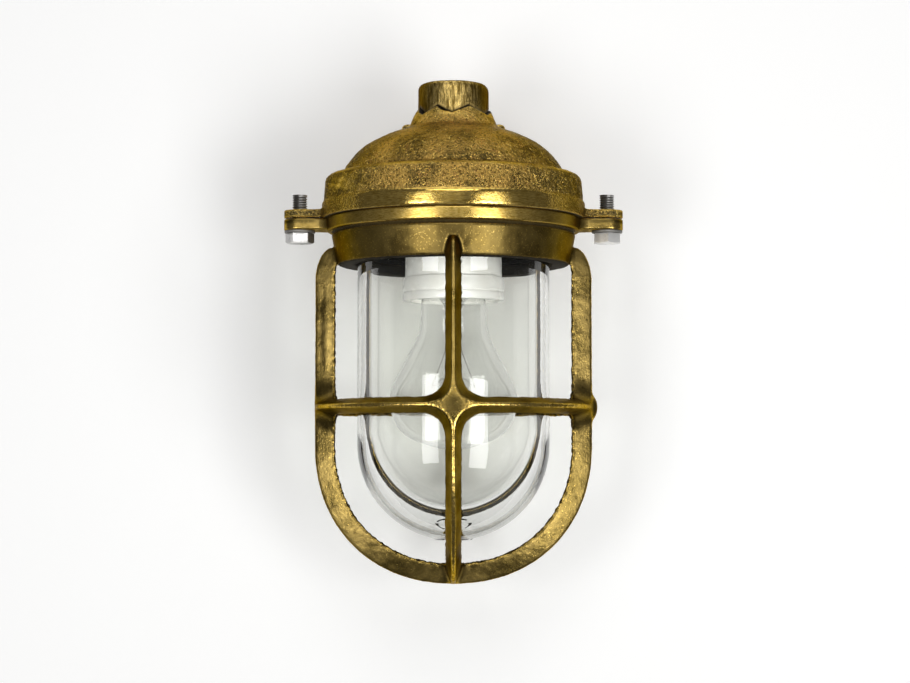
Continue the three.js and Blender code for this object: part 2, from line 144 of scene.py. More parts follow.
def rounded(corners, radius=0.6, steps=3):
    """A closed outline with rounded corners. A corner may give its own radius."""
    out = []
    for i, (x, z, *own) in enumerate(corners):
        here = np.array([x, z], float)
        before = np.array(corners[i - 1][:2], float) - here
        after = np.array(corners[(i + 1) % len(corners)][:2], float) - here
        cut = own[0] if own else radius
        back = before * min(cut / np.linalg.norm(before), 0.45)
        forth = after * min(cut / np.linalg.norm(after), 0.45)
        if cut == 0 or x == 0:
            out.append(here)
            continue
        for t in np.linspace(0, 1, steps + 1):
            out.append(here + back * (1 - t) ** 2 + forth * t ** 2)
    return out


def curved(points, steps):
    """An open Catmull-Rom curve through the points."""
    p = np.array(points, float)
    p = np.vstack([2 * p[0] - p[1], p, 2 * p[-1] - p[-2]])
    out = []
    for a, b, c, d in zip(p, p[1:], p[2:], p[3:]):
        for t in np.linspace(0, 1, steps, endpoint=False):
            out.append(0.5 * (2 * b + (c - a) * t + (2 * a - 5 * b + 4 * c - d) * t ** 2
                              + (3 * b - a - 3 * c + d) * t ** 3))
    return [tuple(q) for q in out] + [tuple(p[-2])]


def arc(x, z, radius, start, stop, steps):
    return [(x + radius * cos(a), z + radius * sin(a))
            for a in np.radians(np.linspace(start, stop, steps + 1))]


def ring(profile_at, sides, centre=(0, 0)):
    """A ring whose closed [radius, height] profile may change with the angle."""
    rows = []
    for angle in np.linspace(0, tau, sides, endpoint=False):
        profile = profile_at(angle)
        rows.append([(centre[0] + r * cos(angle), centre[1] + r * sin(angle), z)
                     for r, z in profile])
    return grid(rows, True)


def turned(profile, sides, centre=(0, 0)):
    return ring(lambda angle: profile, sides, centre)


def threaded(crest, depth, low, high, pitch, sides, wall=0, centre=(0, 0)):
    """A right-hand threaded rod, or a sleeve of that wall thickness, with faded ends."""
    def profile_at(angle):
        thread = []
        for z in np.linspace(low, high, max(int((high - low) / pitch * 8), 8)):
            fade = min(1, (z - low) / pitch, (high - z) / pitch)
            wave = 0.5 - 0.5 * cos(tau * z / pitch - angle)
            thread.append((crest - depth * fade * wave, z))
        inner = crest - depth - wall if wall else 0
        return [(inner, low), *thread, (inner, high)]
    return ring(profile_at, sides, centre)


def flat_ring(node, inner, outer, edge, sides, centre=(0, 0), steps=3):
    """A washer at a node's height, and as thick."""
    low, high = span_of(node)
    corners = [(inner, low), (outer, low), (outer, high), (inner, high)]
    return turned(rounded(corners, edge, steps), sides, centre)


def tube(path, radius, sides=8):
    """A round wire along a path of points."""
    path = np.array(path, float)
    rows = []
    along = np.gradient(path, axis=0)
    side = np.cross(along[0], (0.3, 0.9, 0.1))
    for here, way in zip(path, along):
        way = way / np.linalg.norm(way)
        side = side - way * side.dot(way)
        side /= np.linalg.norm(side)
        up = np.cross(way, side)
        rows.append([here + radius * (side * cos(a) + up * sin(a))
                     for a in np.linspace(0, tau, sides, endpoint=False)])
    rows = [[path[0]] * sides, *rows, [path[-1]] * sides]
    return grid(rows, False)


def joined(*parts):
    points, faces, start = [], [], 0
    for p, f in parts:
        points.append(p)
        faces.append(f + start)
        start += len(p)
    return np.vstack(points), np.vstack(faces)


def put(name, data):
    thing = bpy.data.objects.new(name, data)
    bpy.context.scene.collection.objects.link(thing)
    return thing


def add_piece(name, shape, body, slot, *stands_for, sharp=35, look=None):
    """Puts a shape into the scene as one piece that rides on a body. It has its slot's look if
    no other is given."""
    points, faces = shape
    mesh = bpy.data.meshes.new(name)
    mesh.from_pydata((points + (0, 0, FOOT)) * MM, [], faces.tolist())
    work = bmesh.new()
    work.from_mesh(mesh)
    bmesh.ops.remove_doubles(work, verts=work.verts, dist=2e-6)
    work.to_mesh(mesh)
    work.free()
    mesh.shade_smooth()
    if sharp:
        mesh.set_sharp_from_angle(angle=radians(sharp))
    mesh.materials.append(LOOKS[look or slot])
    piece = put(name, mesh)
    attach(piece, body)
    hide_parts(*stands_for)
    return piece


# ---------------------------------------- attributes for the materials

def ease(low, high, values):
    """0 at low and 1 at high, with a soft step between."""
    t = np.clip((values - low) / (high - low), 0, 1)
    return t * t * (3 - 2 * t)


def read_vectors(piece, what):
    flat = np.zeros(len(piece.data.vertices) * 3)
    piece.data.vertices.foreach_get(what, flat)
    return flat.reshape(-1, 3)


def places_of(piece):
    """A piece's points, in millimetres above the guard's foot."""
    return read_vectors(piece, "co") / MM - (0, 0, FOOT)


def set_attribute(piece, name, values):
    made = piece.data.attributes.new(name, "FLOAT", "POINT")
    made.data.foreach_set("value", np.asarray(values, np.float32))


def facing_in(piece, low, reach):
    """1 where a piece's surface faces inwards, above a height and within a radius."""
    nx, ny, nz = read_vectors(piece, "normal").T
    x, y, z = places_of(piece).T
    r = np.maximum(np.hypot(x, y), 1)
    hidden = np.maximum(-(nx * x + ny * y) / r, -nz)
    return ease(0.25, 0.6, hidden) * (z > low) * (r < reach)


# ---------------------------------------- castings as distance fields

CELL = 0.85  # of the grid that a casting's surface is read from


def smooth_min(a, b, reach):
    mix = np.clip(0.5 + 0.5 * (b - a) / reach, 0, 1)
    return b + (a - b) * mix - reach * mix * (1 - mix)


def smooth_max(a, b, reach):
    return -smooth_min(-a, -b, reach)


class Outline:
    """Distance from a closed [radius, height] outline, negative inside, read from a table."""

    STEP = 0.25
    MARGIN = 8

    def __init__(self, corners):
        corners = np.array(corners, float)
        self.low = corners.min(0) - self.MARGIN
        self.count = ((np.ptp(corners, axis=0) + 2 * self.MARGIN) / self.STEP).astype(int) + 2
        x, z = np.meshgrid(*(low + np.arange(n) * self.STEP
                             for low, n in zip(self.low, self.count)), indexing="ij")
        nearest = np.full(x.shape, np.inf)
        inside = np.zeros(x.shape, bool)
        for (ax, az), (bx, bz) in zip(corners, np.roll(corners, -1, axis=0)):
            ex, ez = bx - ax, bz - az
            t = np.clip(((x - ax) * ex + (z - az) * ez) / (ex * ex + ez * ez + 1e-12), 0, 1)
            nearest = np.minimum(nearest, np.hypot(x - ax - t * ex, z - az - t * ez))
            if az != bz:
                crosses = (az > z) != (bz > z)
                inside ^= crosses & (x < ax + (z - az) * ex / ez)
        self.table = np.where(inside, -nearest, nearest).astype(np.float32)

    def __call__(self, x, z):
        u = np.clip((x - self.low[0]) / self.STEP, 0, self.count[0] - 1.01)
        v = np.clip((z - self.low[1]) / self.STEP, 0, self.count[1] - 1.01)
        i, j = u.astype(int), v.astype(int)
        u, v = u - i, v - j
        t = self.table
        return ((t[i, j] * (1 - u) + t[i + 1, j] * u) * (1 - v)
                + (t[i, j + 1] * (1 - u) + t[i + 1, j + 1] * u) * v)


def surface_of(field, reach, bottom, top):
    """Surface nets: one point in each cell that the surface crosses, one quad for each edge,
    then the points are drawn onto the field's zero."""
    low, high = (-EAR_REACH - 2, -reach - 2, bottom), (EAR_REACH + 2, reach + 2, top)
    x, y, z = (np.arange(a, b + CELL, CELL, dtype=np.float32) for a, b in zip(low, high))
    d = np.concatenate([field(*np.meshgrid(x, y, part, indexing="ij"))
                        for part in np.array_split(z, max(len(z) // 24, 1))], axis=2)
    shape = np.array(d.shape) - 1
    corner_steps = list(np.ndindex(2, 2, 2))
    corners = [d[i:shape[0] + i, j:shape[1] + j, k:shape[2] + k] for i, j, k in corner_steps]
    below = sum((c < 0).astype(np.int8) for c in corners)
    cells = np.argwhere((below > 0) & (below < 8))
    values = np.stack([c[tuple(cells.T)] for c in corners], 1)
    total, hits = np.zeros((len(cells), 3)), np.zeros((len(cells), 1))
    for a in range(8):
        for b in range(a + 1, 8):
            start, stop = np.array(corner_steps[a]), np.array(corner_steps[b])
            if abs(stop - start).sum() != 1:
                continue
            va, vb = values[:, a], values[:, b]
            cut = (va < 0) != (vb < 0)
            t = np.where(cut, va / np.where(cut, va - vb, 1), 0)[:, None]
            total += np.where(cut[:, None], start + t * (stop - start), 0)
            hits += cut[:, None]
    points = (cells + total / hits) * CELL + np.array(low)
    number = np.full(shape, -1, np.int32)
    number[tuple(cells.T)] = np.arange(len(cells))
    faces = []
    for axis in range(3):
        one, other = [n for n in range(3) if n != axis]
        ahead = np.take(d, range(1, d.shape[axis]), axis)
        here = np.take(d, range(d.shape[axis] - 1), axis)
        edges = np.argwhere((here < 0) != (ahead < 0))
        edges = edges[(edges[:, one] > 0) & (edges[:, other] > 0)]
        edges = edges[(edges[:, one] < shape[one]) & (edges[:, other] < shape[other])]
        solid_here = here[tuple(edges.T)] < 0
        quad = []
        for u, v in ((0, 0), (-1, 0), (-1, -1), (0, -1)):
            at = edges.copy()
            at[:, one] += u
            at[:, other] += v
            quad.append(number[tuple(at.T)])
        quad = np.stack(quad, 1)
        turn = solid_here != (axis == 1)
        quad[~turn] = quad[~turn][:, ::-1]
        faces.append(quad)
    faces = np.vstack(faces)
    return drawn_in(field, points), outward(points, faces)


def drawn_in(field, points):
    """The points, moved along the field's slope until the field is zero."""
    step = 0.05
    for _ in range(3):
        here = field(*points.T)
        slope = np.stack([(field(*(points + step * e).T) - field(*(points - step * e).T))
                          / (2 * step) for e in np.eye(3)], 1)
        length = np.maximum((slope ** 2).sum(1), 0.2)
        move = slope * (here / length)[:, None]
        points = points - np.clip(move, -CELL / 2, CELL / 2)
    return points


def drilled(d, x, y):
    """A casting's distance, with the two bolt holes taken out."""
    return smooth_max(d, BOLT_HOLE_R - np.hypot(np.abs(x) - BOLT_X, y), 0.4)


def slab(d, z, low, high, edge):
    """A plan shape's distance, kept between two heights with rounded edges."""
    return smooth_max(smooth_max(d, z - high, edge), low - z, edge)


def ears(x, y, z, disc, low, high):
    """Both ears and the disc they grow from, with hollow fillets in plan."""
    along = np.clip(np.abs(x), disc - 8, BOLT_X) - np.abs(x)
    lug = np.hypot(along, y) - EAR_HALF
    plan = smooth_min(lug, np.hypot(x, y) - disc, 9)
    return slab(plan, z, low, high, 0.5)


# ---------------------------------------- materials

class Material:
    """A node material under construction: node() adds a shader node, and a value that is
    another node's output is linked."""

    def __init__(self, name):
        self.material = bpy.data.materials.new(name)
        self.material.use_nodes = True
        self.tree = self.material.node_tree
        self.tree.nodes.clear()
        self.place = self.node("TexCoord").outputs["Object"]

    def node(self, kind, inputs=None, **settings):
        made = self.tree.nodes.new("ShaderNode" + kind)
        for key, value in settings.items():
            setattr(made, key, value)
        for key, value in (inputs or {}).items():
            if isinstance(value, bpy.types.NodeSocket):
                self.tree.links.new(value, made.inputs[key])
            else:
                made.inputs[key].default_value = value
        return made

    def noise(self, size, detail=4, rough=0.6, stretch=None, distortion=0.0):
        """A noise with features of about size millimetres, and of finer ones with more detail,
        from 0 to 1."""
        place = self.place
        if stretch:
            place = self.node("Mapping", {"Vector": place, "Scale": stretch}).outputs[0]
        inputs = {"Vector": place, "Scale": 1 / (size * MM), "Detail": detail,
                  "Roughness": rough, "Distortion": distortion}
        return self.node("TexNoise", inputs).outputs["Fac"]

    def math(self, operation, a, b):
        return self.node("Math", {0: a, 1: b}, operation=operation).outputs[0]

    def times(self, a, b):
        return self.math("MULTIPLY", a, b)

    def less(self, a, b):
        return self.math("SUBTRACT", a, b)

    def most(self, a, b):
        return self.math("MAXIMUM", a, b)

    def ramp(self, value, low, high, to_low=0.0, to_high=1.0):
        """value, taken from low..high to to_low..to_high and held at both ends."""
        inputs = {"Value": value, "From Min": low, "From Max": high,
                  "To Min": to_low, "To Max": to_high}
        made = self.node("MapRange", inputs, interpolation_type="SMOOTHSTEP")
        return made.outputs["Result"]

    def mix(self, amount, a, b):
        made = self.node("Mix", {0: amount}, data_type="RGBA")
        for socket, value in ((made.inputs[6], a), (made.inputs[7], b)):
            if isinstance(value, bpy.types.NodeSocket):
                self.tree.links.new(value, socket)
            else:
                socket.default_value = (*value, 1)
        return made.outputs[2]

    def attribute(self, name):
        return self.node("Attribute", attribute_name=name).outputs["Fac"]

    def pointiness(self, low, high):
        return self.ramp(self.node("NewGeometry").outputs["Pointiness"], low, high)

    def bump(self, height, depth, strength, below=None):
        """A normal from a height field of depth millimetres, over the normal below."""
        inputs = {"Height": height, "Distance": depth * MM, "Strength": strength}
        if below is not None:
            inputs["Normal"] = below
        return self.node("Bump", inputs).outputs[0]

    def finish(self, shader):
        self.node("OutputMaterial", {"Surface": shader})
        return self.material

    def principled(self, **inputs):
        named = {key.replace("_", " "): value for key, value in inputs.items()}
        for key, value in list(named.items()):
            if isinstance(value, tuple) and len(value) == 3:
                named[key] = (*value, 1)
        return self.node("BsdfPrincipled", named).outputs[0]


DARK_PATINA = (0.055, 0.036, 0.008)
OLIVE = (0.16, 0.112, 0.034)
OLD_BRASS = (0.70, 0.43, 0.105)
BRIGHT_BRASS = (0.97, 0.69, 0.20)
COPPERY = (0.58, 0.31, 0.09)
FILED_BRASS = (0.60, 0.375, 0.06)
# painted shade: the near black that hollows, grooves and joints are painted with
HOLLOW_SHADE_BLACK = (0.018, 0.015, 0.011)


def brass(m, base, bright, shown, rough, normal):
    """Brass of a base colour, bright where shown is 1 (rubbed wear, polish and painted
    glints), and painted near black as shade where it is hidden in hollows, grooves and joints.
    """
    colour = m.mix(m.attribute("painted_hollow_shade"), m.mix(shown, base, bright), HOLLOW_SHADE_BLACK)
    rough = m.less(rough, m.times(shown, 0.12))
    rough = m.math("ADD", rough, m.times(m.attribute("painted_hollow_shade"), 0.55))
    metallic = m.less(1.0, m.attribute("painted_hollow_shade"))
    return m.finish(m.principled(Base_Color=colour, Metallic=metallic, Roughness=rough,
                                 Normal=normal, Specular_Tint=(0.40, 0.33, 0.19)))


def cast_brass():
    """Sand-cast brass under an uneven patina, with pits, bright specks as painted glints,
    rubbed edges, and painted shade where its piece asks for it.
    """
    m = Material("cast_brass")
    clouds = m.noise(16, 6)
    blotches = m.noise(6, 5, distortion=0.6)
    colour = m.mix(m.ramp(clouds, 0.30, 0.64), OLIVE, OLD_BRASS)
    colour = m.mix(m.ramp(blotches, 0.54, 0.66, 0, 0.7), colour, COPPERY)
    pits = m.noise(1.1, 3, rough=0.6)
    colour = m.mix(m.ramp(pits, 0.48, 0.38, 0, 0.85), colour, DARK_PATINA)
    # painted shade: darker where the piece paints shade
    colour = m.mix(m.attribute("painted_shade"), colour, (0.105, 0.088, 0.040))
    # painted glints: bright specks of polished colour
    glint_specks = m.ramp(m.noise(0.95, 2), 0.53, 0.58)
    bright = m.times(glint_specks, m.ramp(blotches, 0.40, 0.56, 0.2, 1.0))
    edges = m.times(m.pointiness(0.512, 0.55), 0.85)
    polish_and_side_shade = m.attribute("polish_and_side_shade")
    shown = m.most(m.most(bright, edges), polish_and_side_shade)
    streaks = m.noise(2.4, 4, stretch=(1, 1, 6))
    polished = m.mix(m.ramp(streaks, 0.36, 0.62), FILED_BRASS, BRIGHT_BRASS)
    grain = m.less(1.0, m.times(polish_and_side_shade, 0.98))
    bumpy = m.bump(m.noise(1.1, 3, rough=0.6), 1.5, grain)
    normal = m.bump(m.noise(3.2, 3), 0.35, m.times(grain, 0.5), bumpy)
    rough = m.ramp(clouds, 0.3, 0.7, 0.24, 0.36)
    return brass(m, colour, polished, shown, rough, normal)


def worn_brass(name="worn_brass", grain=0.07):
    """Turned or filed brass, bright under thin stains, scratched up and down, and darkened
    where its piece is painted with shade.
    """
    m = Material(name)
    clouds = m.noise(7, 5)
    streaks = m.noise(1.3, 5, rough=0.7, stretch=(1, 1, grain * 2))
    colour = m.mix(m.ramp(streaks, 0.40, 0.60), (0.17, 0.108, 0.020), (0.84, 0.60, 0.20))
    colour = m.mix(m.ramp(clouds, 0.52, 0.68, 0, 0.45), colour, OLIVE)
    # painted shade: darker where the piece paints shade
    colour = m.mix(m.attribute("painted_shade"), colour, (0.095, 0.062, 0.016))
    edges = m.pointiness(0.52, 0.57)
    scratches = m.noise(0.7, 4, rough=0.7, stretch=(1, 1, grain))
    normal = m.bump(scratches, 0.30, 0.85, m.bump(m.noise(4, 2), 0.2, 0.5))
    rough = m.ramp(streaks, 0.3, 0.7, 0.36, 0.22)
    return brass(m, colour, BRIGHT_BRASS, m.times(edges, 0.7), rough, normal)


def guard_brass():
    """The guard: dark patina on its faces, filed bright along its outer ridges, with painted
    glints and painted shade.
    """
    m = Material("guard_brass")
    clouds = m.noise(20, 5)
    blotches = m.noise(4, 5, distortion=0.5)
    colour = m.mix(m.ramp(clouds, 0.38, 0.62), (0.19, 0.134, 0.036), (0.40, 0.283, 0.086))
    colour = m.mix(m.ramp(blotches, 0.56, 0.72, 0, 0.6), colour, DARK_PATINA)
    ridge = m.attribute("ridge")
    worn = m.times(m.ramp(m.noise(2.2, 5), 0.38, 0.54), ridge)
    edges = m.times(m.pointiness(0.52, 0.58), 0.6)
    # painted glints: sparse bright specks
    glint_specks = m.times(m.ramp(m.noise(0.75, 2), 0.62, 0.67), 0.45)
    polish_and_side_shade = m.attribute("polish_and_side_shade")
    shown = m.most(m.most(worn, edges), polish_and_side_shade)
    shown = m.most(shown, glint_specks)
    streaks = m.noise(2.0, 4, stretch=(1, 1, 6))
    filed = m.mix(m.ramp(streaks, 0.36, 0.62), FILED_BRASS, BRIGHT_BRASS)
    base = m.mix(m.attribute("burr"), colour, (0.022, 0.016, 0.007))
    # painted shade: darker where the piece paints shade
    base = m.mix(m.attribute("painted_shade"), base, (0.085, 0.060, 0.015))
    turned = m.attribute("turned")
    brown = m.mix(m.ramp(clouds, 0.35, 0.65), (0.135, 0.092, 0.024), (0.22, 0.155, 0.045))
    base = m.mix(turned, base, brown)
    marks = m.noise(1.0, 4, rough=0.65, stretch=(1, 1, 0.5))
    grain = m.less(0.6, m.times(turned, 0.42))
    grain = m.times(grain, m.less(1.0, polish_and_side_shade))
    fine = m.bump(marks, 0.22, grain)
    normal = m.bump(m.noise(3.5, 3), 0.26, grain, fine)
    rough = m.math("ADD", m.ramp(clouds, 0.3, 0.7, 0.27, 0.38), m.times(turned, 0.06))
    return brass(m, base, filed, shown, rough, normal)


def steel(name, colour, grime_and_shade, low, high, metallic=1.0):
    m = Material(name)
    stains = m.noise(3, 5)
    # darker from stains, and from the grime and painted shade that a piece sets
    stains_and_shade = m.most(m.ramp(stains, 0.52, 0.75, 0, 0.4), m.attribute("grime_and_shade"))
    shade = m.mix(stains_and_shade, colour, grime_and_shade)
    rough = m.ramp(m.noise(1.2, 4), 0.3, 0.7, low, high)
    normal = m.bump(m.noise(0.5, 4), 0.05, 0.4)
    return m.finish(m.principled(Base_Color=shade, Metallic=metallic, Roughness=rough,
                                 Normal=normal))


def white_glaze():
    m = Material("white_glaze")
    clouds = m.noise(12, 3)
    shade = m.mix(m.ramp(clouds, 0.4, 0.7, 0, 0.6), (0.90, 0.89, 0.86), (0.82, 0.80, 0.75))
    rough = m.ramp(m.noise(5, 3), 0.3, 0.7, 0.16, 0.30)
    normal = m.bump(m.noise(7, 2), 0.10, 0.4)
    return m.finish(m.principled(Base_Color=shade, Roughness=rough, Normal=normal))


def rubber():
    m = Material("rubber")
    dust = m.noise(2.5, 5)
    shade = m.mix(m.ramp(dust, 0.5, 0.75), (0.022, 0.021, 0.020), (0.07, 0.065, 0.055))
    rough = m.ramp(dust, 0.3, 0.7, 0.6, 0.8)
    normal = m.bump(m.noise(0.8, 3), 0.06, 0.5)
    return m.finish(m.principled(Base_Color=shade, Roughness=rough, Normal=normal))


def black_glass():
    m = Material("black_glass")
    shade = m.mix(m.noise(2, 3), (0.010, 0.010, 0.014), (0.03, 0.03, 0.035))
    rough = m.ramp(m.noise(1.5), 0.3, 0.7, 0.08, 0.2)
    return m.finish(m.principled(Base_Color=shade, Roughness=rough))


def clear_glass(name, tint, waves, depth, shadow, haze=0.0):
    """Clear glass with a slightly uneven surface, greyer where thick is 1, under a thin haze
    of dust. Lamps shine through it."""
    m = Material(name)
    tint = m.mix(m.attribute("thick"), tint, (0.60, 0.61, 0.575))
    wavy = m.noise(waves, 2, rough=0.4)
    smears = m.noise(18, 5)
    rough = m.ramp(smears, 0.45, 0.75, 0.0, 0.05)
    normal = m.bump(wavy, depth, 0.5)
    glass = m.principled(Base_Color=tint, Roughness=rough, IOR=1.5, Transmission_Weight=1.0,
                         Normal=normal)
    if haze:
        dust = m.node("BsdfDiffuse", {"Color": (0.92, 0.92, 0.90, 1)}).outputs[0]
        amount = m.ramp(smears, 0.35, 0.65, haze * 0.5, haze)
        glass = m.node("MixShader", {0: amount, 1: glass, 2: dust}).outputs[0]
    lamp_ray = m.node("LightPath").outputs["Is Shadow Ray"]
    through = m.node("BsdfTransparent", {"Color": (*shadow, 1)}).outputs[0]
    return m.finish(m.node("MixShader", {0: lamp_ray, 1: glass, 2: through}).outputs[0])


STEELS = {
    "bolt_steel": ((0.93, 0.92, 0.90), (0.10, 0.095, 0.085), 0.30, 0.42, 0.6),
    # painted shadow: the washers' steel is darker than the bolts'
    "shadowed_washer_steel": ((0.30, 0.29, 0.27), (0.12, 0.11, 0.10), 0.55, 0.7, 0.8),
    "zinc_steel": ((0.62, 0.62, 0.60), (0.38, 0.36, 0.32), 0.30, 0.50),
    "bulb_cap_metal": ((0.80, 0.79, 0.76), (0.55, 0.53, 0.48), 0.20, 0.35),
    "tin": ((0.68, 0.68, 0.68), (0.42, 0.42, 0.42), 0.30, 0.45),
    "filament_metal": ((0.35, 0.33, 0.31), (0.16, 0.15, 0.14), 0.30, 0.50),
}
LOOKS = {name: steel(name, *look) for name, look in STEELS.items()} | {
    "cast_brass": cast_brass(),
    "worn_brass": worn_brass(),
    "guard_brass": guard_brass(),
    "contact_brass": worn_brass("contact_brass", grain=1),
    "white_ceramic": white_glaze(),
    "rubber": rubber(),
    "bulb_insulation": black_glass(),
    "jar_glass": clear_glass("jar_glass", (0.985, 0.99, 0.97), 24, 0.05, (0.81, 0.82, 0.80)),
    "bulb_glass": clear_glass("bulb_glass", (1.0, 1.0, 0.995), 20, 0.05, (1.0, 1.0, 0.995), 0.09),
}


# ---------------------------------------- neck and dome

def tooth_line(angle):
    """Height of the saw-toothed joint line round the neck."""
    from_front = angle - TOOTH_TURN
    turn = (from_front * TEETH / tau - 0.31 * (1 - np.cos(from_front))) % 1
    return TOOTH_MID - TOOTH_RISE * (1 - 4 * np.minimum(turn, 1 - turn))


def worn_gap(angle):
    """How far the joint gapes, which differs round the neck."""
    def near(degrees_round, width):
        return np.exp(-((angle - radians(degrees_round)) / radians(width)) ** 2)
    return 0.32 + 1.0 * near(-106, 9) + 0.9 * near(-148, 9) + 0.4 * near(-38, 8)


def neck_sleeve():
    spigot_r, bore_r, spigot_end = 15.2, 13, span_of("neck_sleeve")[0]

    def profile_at(angle):
        foot = tooth_line(angle)
        uneven = 0.25 * noise.noise(Vector((cos(angle) * 2, sin(angle) * 2, 7)))
        shoulder = 3.0 + 1.2 * max(0, cos(angle + 0.5))
        side = np.linspace((NECK_R, foot + 0.6), (NECK_R - 0.05, HEIGHT - shoulder), 9)
        crown = [(NECK_R - 0.05 - (1 - cos(a)) * shoulder * 0.8,
                  HEIGHT - shoulder + sin(a) * (shoulder + uneven * 0.3))
                 for a in np.linspace(0, pi / 2, 6)[1:]]
        thread = [(bore_r + 0.45 * (0.5 - 0.5 * cos(tau * z / CONDUIT_PITCH - angle)), z)
                  for z in np.linspace(HEIGHT - 1.2, spigot_end + 0.5, 60)]
        return [(bore_r + 0.4, spigot_end), (spigot_r, spigot_end), (spigot_r, foot),
                (NECK_R - 0.15, foot + 0.1), *side, *crown, (bore_r + 1.4, HEIGHT),
                (bore_r + 0.5, HEIGHT - 0.5), *thread]

    def dents(p):
        return 0.10 * noise.noise(p / 6) + 0.05 * noise.noise(p / 1.6)
    return roughened(ring(profile_at, TEETH * 32), dents)


DOME_CURVE = [(57.6, 213.4), (56.6, 215.6), (54.6, 218.5), (50.6, 223.2), (46.2, 227),
              (40.8, 230.2), (34.6, 233.1), (28.5, 235.3), (25.0, 236.7), (23.3, 237.7),
              (22.3, 239.8), (21.0, 243), (19.2, 246.8)]


def dome_outline():
    """The dome's wall, cut through the axis: outside from the lip up, then inside down."""
    flange = [(53, DOME_LOW), (58.2, DOME_LOW), (58.2, SEAM + 0.15),
              (FLANGE_R - 0.7, SEAM + 0.15), (FLANGE_R - 0.35, SEAM + 0.5),
              (FLANGE_R + 0.2, 196.4), (FLANGE_R + 0.1, 197.1), (FLANGE_R - 0.3, 197.6),
              (67.7, 197.9), (67.3, 203), (66.8, 208.6), (66.2, 210.2), (64.4, 211.5),
              (61.0, 212.3), (58.4, 212.7)]
    bore = [(18.5, DOME_TOP), (15.6, DOME_TOP), (15.6, CEILING), (26, CEILING)]
    inside = curved([(26, CEILING), (36.5, 228.2), (43.5, 223.4), (48, 219.5), (52, 212.2)], 4)
    return [*flange, *curved(DOME_CURVE, 4), *bore, *inside[1:], (60.5, 207), (60.5, 197),
            (53, 192)]


def dome_cover():
    wall = Outline(dome_outline())
    screw = frame_centre("plate_screw_left")

    def field(x, y, z):
        r = np.hypot(x, y)
        angle = np.arctan2(y, x)
        d = smooth_max(wall(r, z), z - (tooth_line(angle) - worn_gap(angle)), 0.3)
        lug = ears(x, y, z, FLANGE_R - 1, SEAM + 0.25, EAR_TOP)
        d = smooth_min(d, np.maximum(lug, 59 - r), 1.6)
        plan = np.hypot(np.abs(x) - abs(screw[0]), y - screw[1])
        pad = slab(plan - 4.6, z, 231, PAD_TOP, 0.8)
        post = slab(plan - 4.3, z, span_of("holder_plate")[1] + 0.3, 233, 0.6)
        d = smooth_min(smooth_min(d, pad, 0.8), post, 1.5)
        return drilled(np.maximum(d, SCREW_HOLE_R - plan), x, y)

    def cast_skin(p):
        r = hypot(p.x, p.y)
        outside = 1 if p.z > BAND_LOW and r > 16.5 else 0.0
        worn_patch = min(1, max(0, 1 - ((p.x + 52) ** 2 + (p.z - 204) ** 2) / 90))
        pits = noise.noise(p / 1.7) + 0.7 * noise.noise(p / 3.4)
        upper = 0.55 if p.z > 229 else 1
        return outside * upper * (1 - worn_patch) * 0.24 * pits + 0.05 * noise.noise(p / 12)
    return roughened(surface_of(field, FLANGE_R, DOME_LOW - 2, DOME_TOP), cast_skin)


